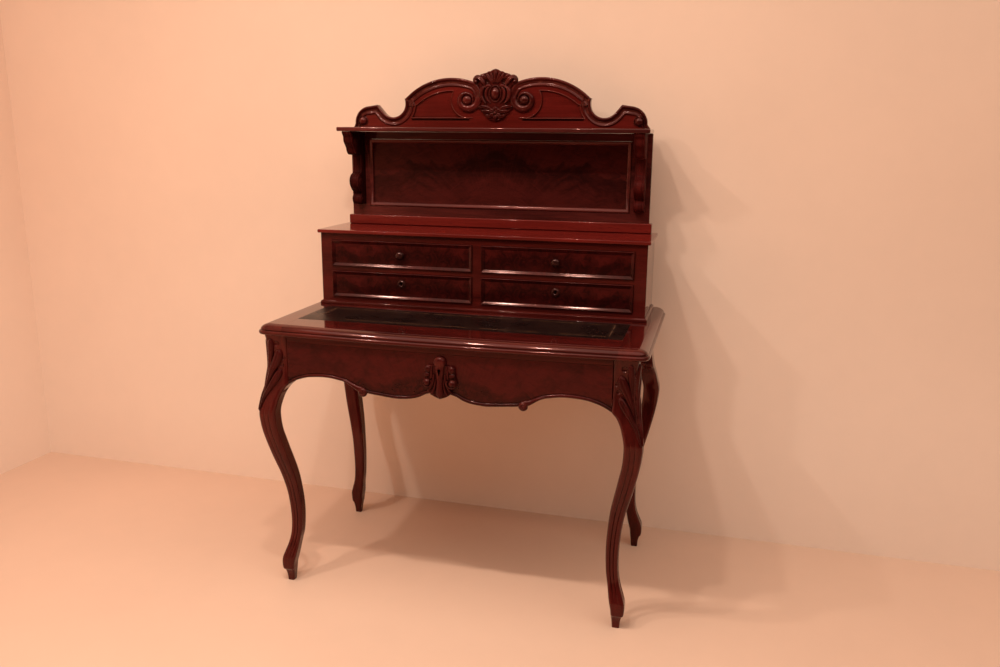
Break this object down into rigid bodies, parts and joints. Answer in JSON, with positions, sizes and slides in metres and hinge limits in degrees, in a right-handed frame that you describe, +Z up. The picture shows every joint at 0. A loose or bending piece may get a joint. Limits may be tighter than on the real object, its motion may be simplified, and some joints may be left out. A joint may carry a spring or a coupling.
{
  "type": "writing table",
  "caption": "Writing table on cabriole legs, with a drawered upper case, a panelled back, a bracketed shelf and a carved cresting.",
  "frame": {"origin": "on the floor, under the middle of the tabletop's width and depth", "axes": "+Z up; +X to the right of someone who sits at the table; +Y to the back, so the drawers open along -Y"},
  "size_m": [1.023, 0.568, 1.4134],
  "materials": {
    "mahogany": "deep red-brown, high French polish",
    "flame_mahogany": "figured veneer, high French polish",
    "carved_mahogany": "carved, polished, darker in the hollows",
    "turned_mahogany": "turned, dark, polished",
    "drawer_oak": "plain, waxed",
    "black_leather": "smooth, near black, with a thin gilt line",
    "lock_steel": "dull"
  },
  "bodies": {
    "table": {"leg_front_left": "mahogany", "leg_front_right": "mahogany", "leg_back_left": "mahogany", "leg_back_right": "mahogany", "side_apron_left": "mahogany", "side_apron_right": "mahogany", "back_apron": "mahogany", "front_rail": "mahogany", "drawer_guide_left": "drawer_oak", "drawer_guide_right": "drawer_oak", "tabletop_centre": "mahogany", "tabletop_clamp_left": "mahogany", "tabletop_clamp_right": "mahogany", "writing_leather": "black_leather", "case_side_left": "mahogany", "case_side_right": "mahogany", "case_bottom": "drawer_oak", "case_top": "mahogany", "case_back": "drawer_oak", "case_divider": "drawer_oak", "case_drawer_shelf": "drawer_oak", "case_face_frame": "mahogany", "base_moulding": "mahogany", "plinth": "mahogany", "back_frame": "mahogany", "back_panel": "flame_mahogany", "panel_moulding": "mahogany", "shelf": "mahogany", "bracket_left": "carved_mahogany", "bracket_right": "carved_mahogany", "cresting_board": "mahogany", "cresting_boss_left": "carved_mahogany", "cresting_boss_right": "carved_mahogany", "cresting_carving": "carved_mahogany"},
    "writing_drawer": {"writing_drawer_front": "flame_mahogany", "keyhole_cartouche": "carved_mahogany", "writing_drawer_side_left": "drawer_oak", "writing_drawer_side_right": "drawer_oak", "writing_drawer_back": "drawer_oak", "writing_drawer_bottom": "drawer_oak", "writing_drawer_lock": "lock_steel"},
    "drawer_upper_left": {"drawer_upper_left_front": "flame_mahogany", "drawer_upper_left_box": "drawer_oak", "drawer_upper_left_bottom": "drawer_oak", "drawer_upper_left_knob": "turned_mahogany"},
    "drawer_upper_right": {"drawer_upper_right_front": "flame_mahogany", "drawer_upper_right_box": "drawer_oak", "drawer_upper_right_bottom": "drawer_oak", "drawer_upper_right_knob": "turned_mahogany"},
    "drawer_lower_left": {"drawer_lower_left_front": "flame_mahogany", "drawer_lower_left_box": "drawer_oak", "drawer_lower_left_bottom": "drawer_oak", "drawer_lower_left_keyhole_ring": "turned_mahogany", "drawer_lower_left_lock": "lock_steel"},
    "drawer_lower_right": {"drawer_lower_right_front": "flame_mahogany", "drawer_lower_right_box": "drawer_oak", "drawer_lower_right_bottom": "drawer_oak", "drawer_lower_right_keyhole_ring": "turned_mahogany", "drawer_lower_right_lock": "lock_steel"}
  },
  "joints": [
    {"name": "writing_drawer_slide", "type": "slide", "parent": "table", "child": "writing_drawer", "axis": [0, -1, 0], "range_m": [0, 0.26]},
    {"name": "drawer_upper_left_slide", "type": "slide", "parent": "table", "child": "drawer_upper_left", "axis": [0, -1, 0], "range_m": [0, 0.13]},
    {"name": "drawer_upper_right_slide", "type": "slide", "parent": "table", "child": "drawer_upper_right", "axis": [0, -1, 0], "range_m": [0, 0.13]},
    {"name": "drawer_lower_left_slide", "type": "slide", "parent": "table", "child": "drawer_lower_left", "axis": [0, -1, 0], "range_m": [0, 0.13]},
    {"name": "drawer_lower_right_slide", "type": "slide", "parent": "table", "child": "drawer_lower_right", "axis": [0, -1, 0], "range_m": [0, 0.13]}
  ]
}
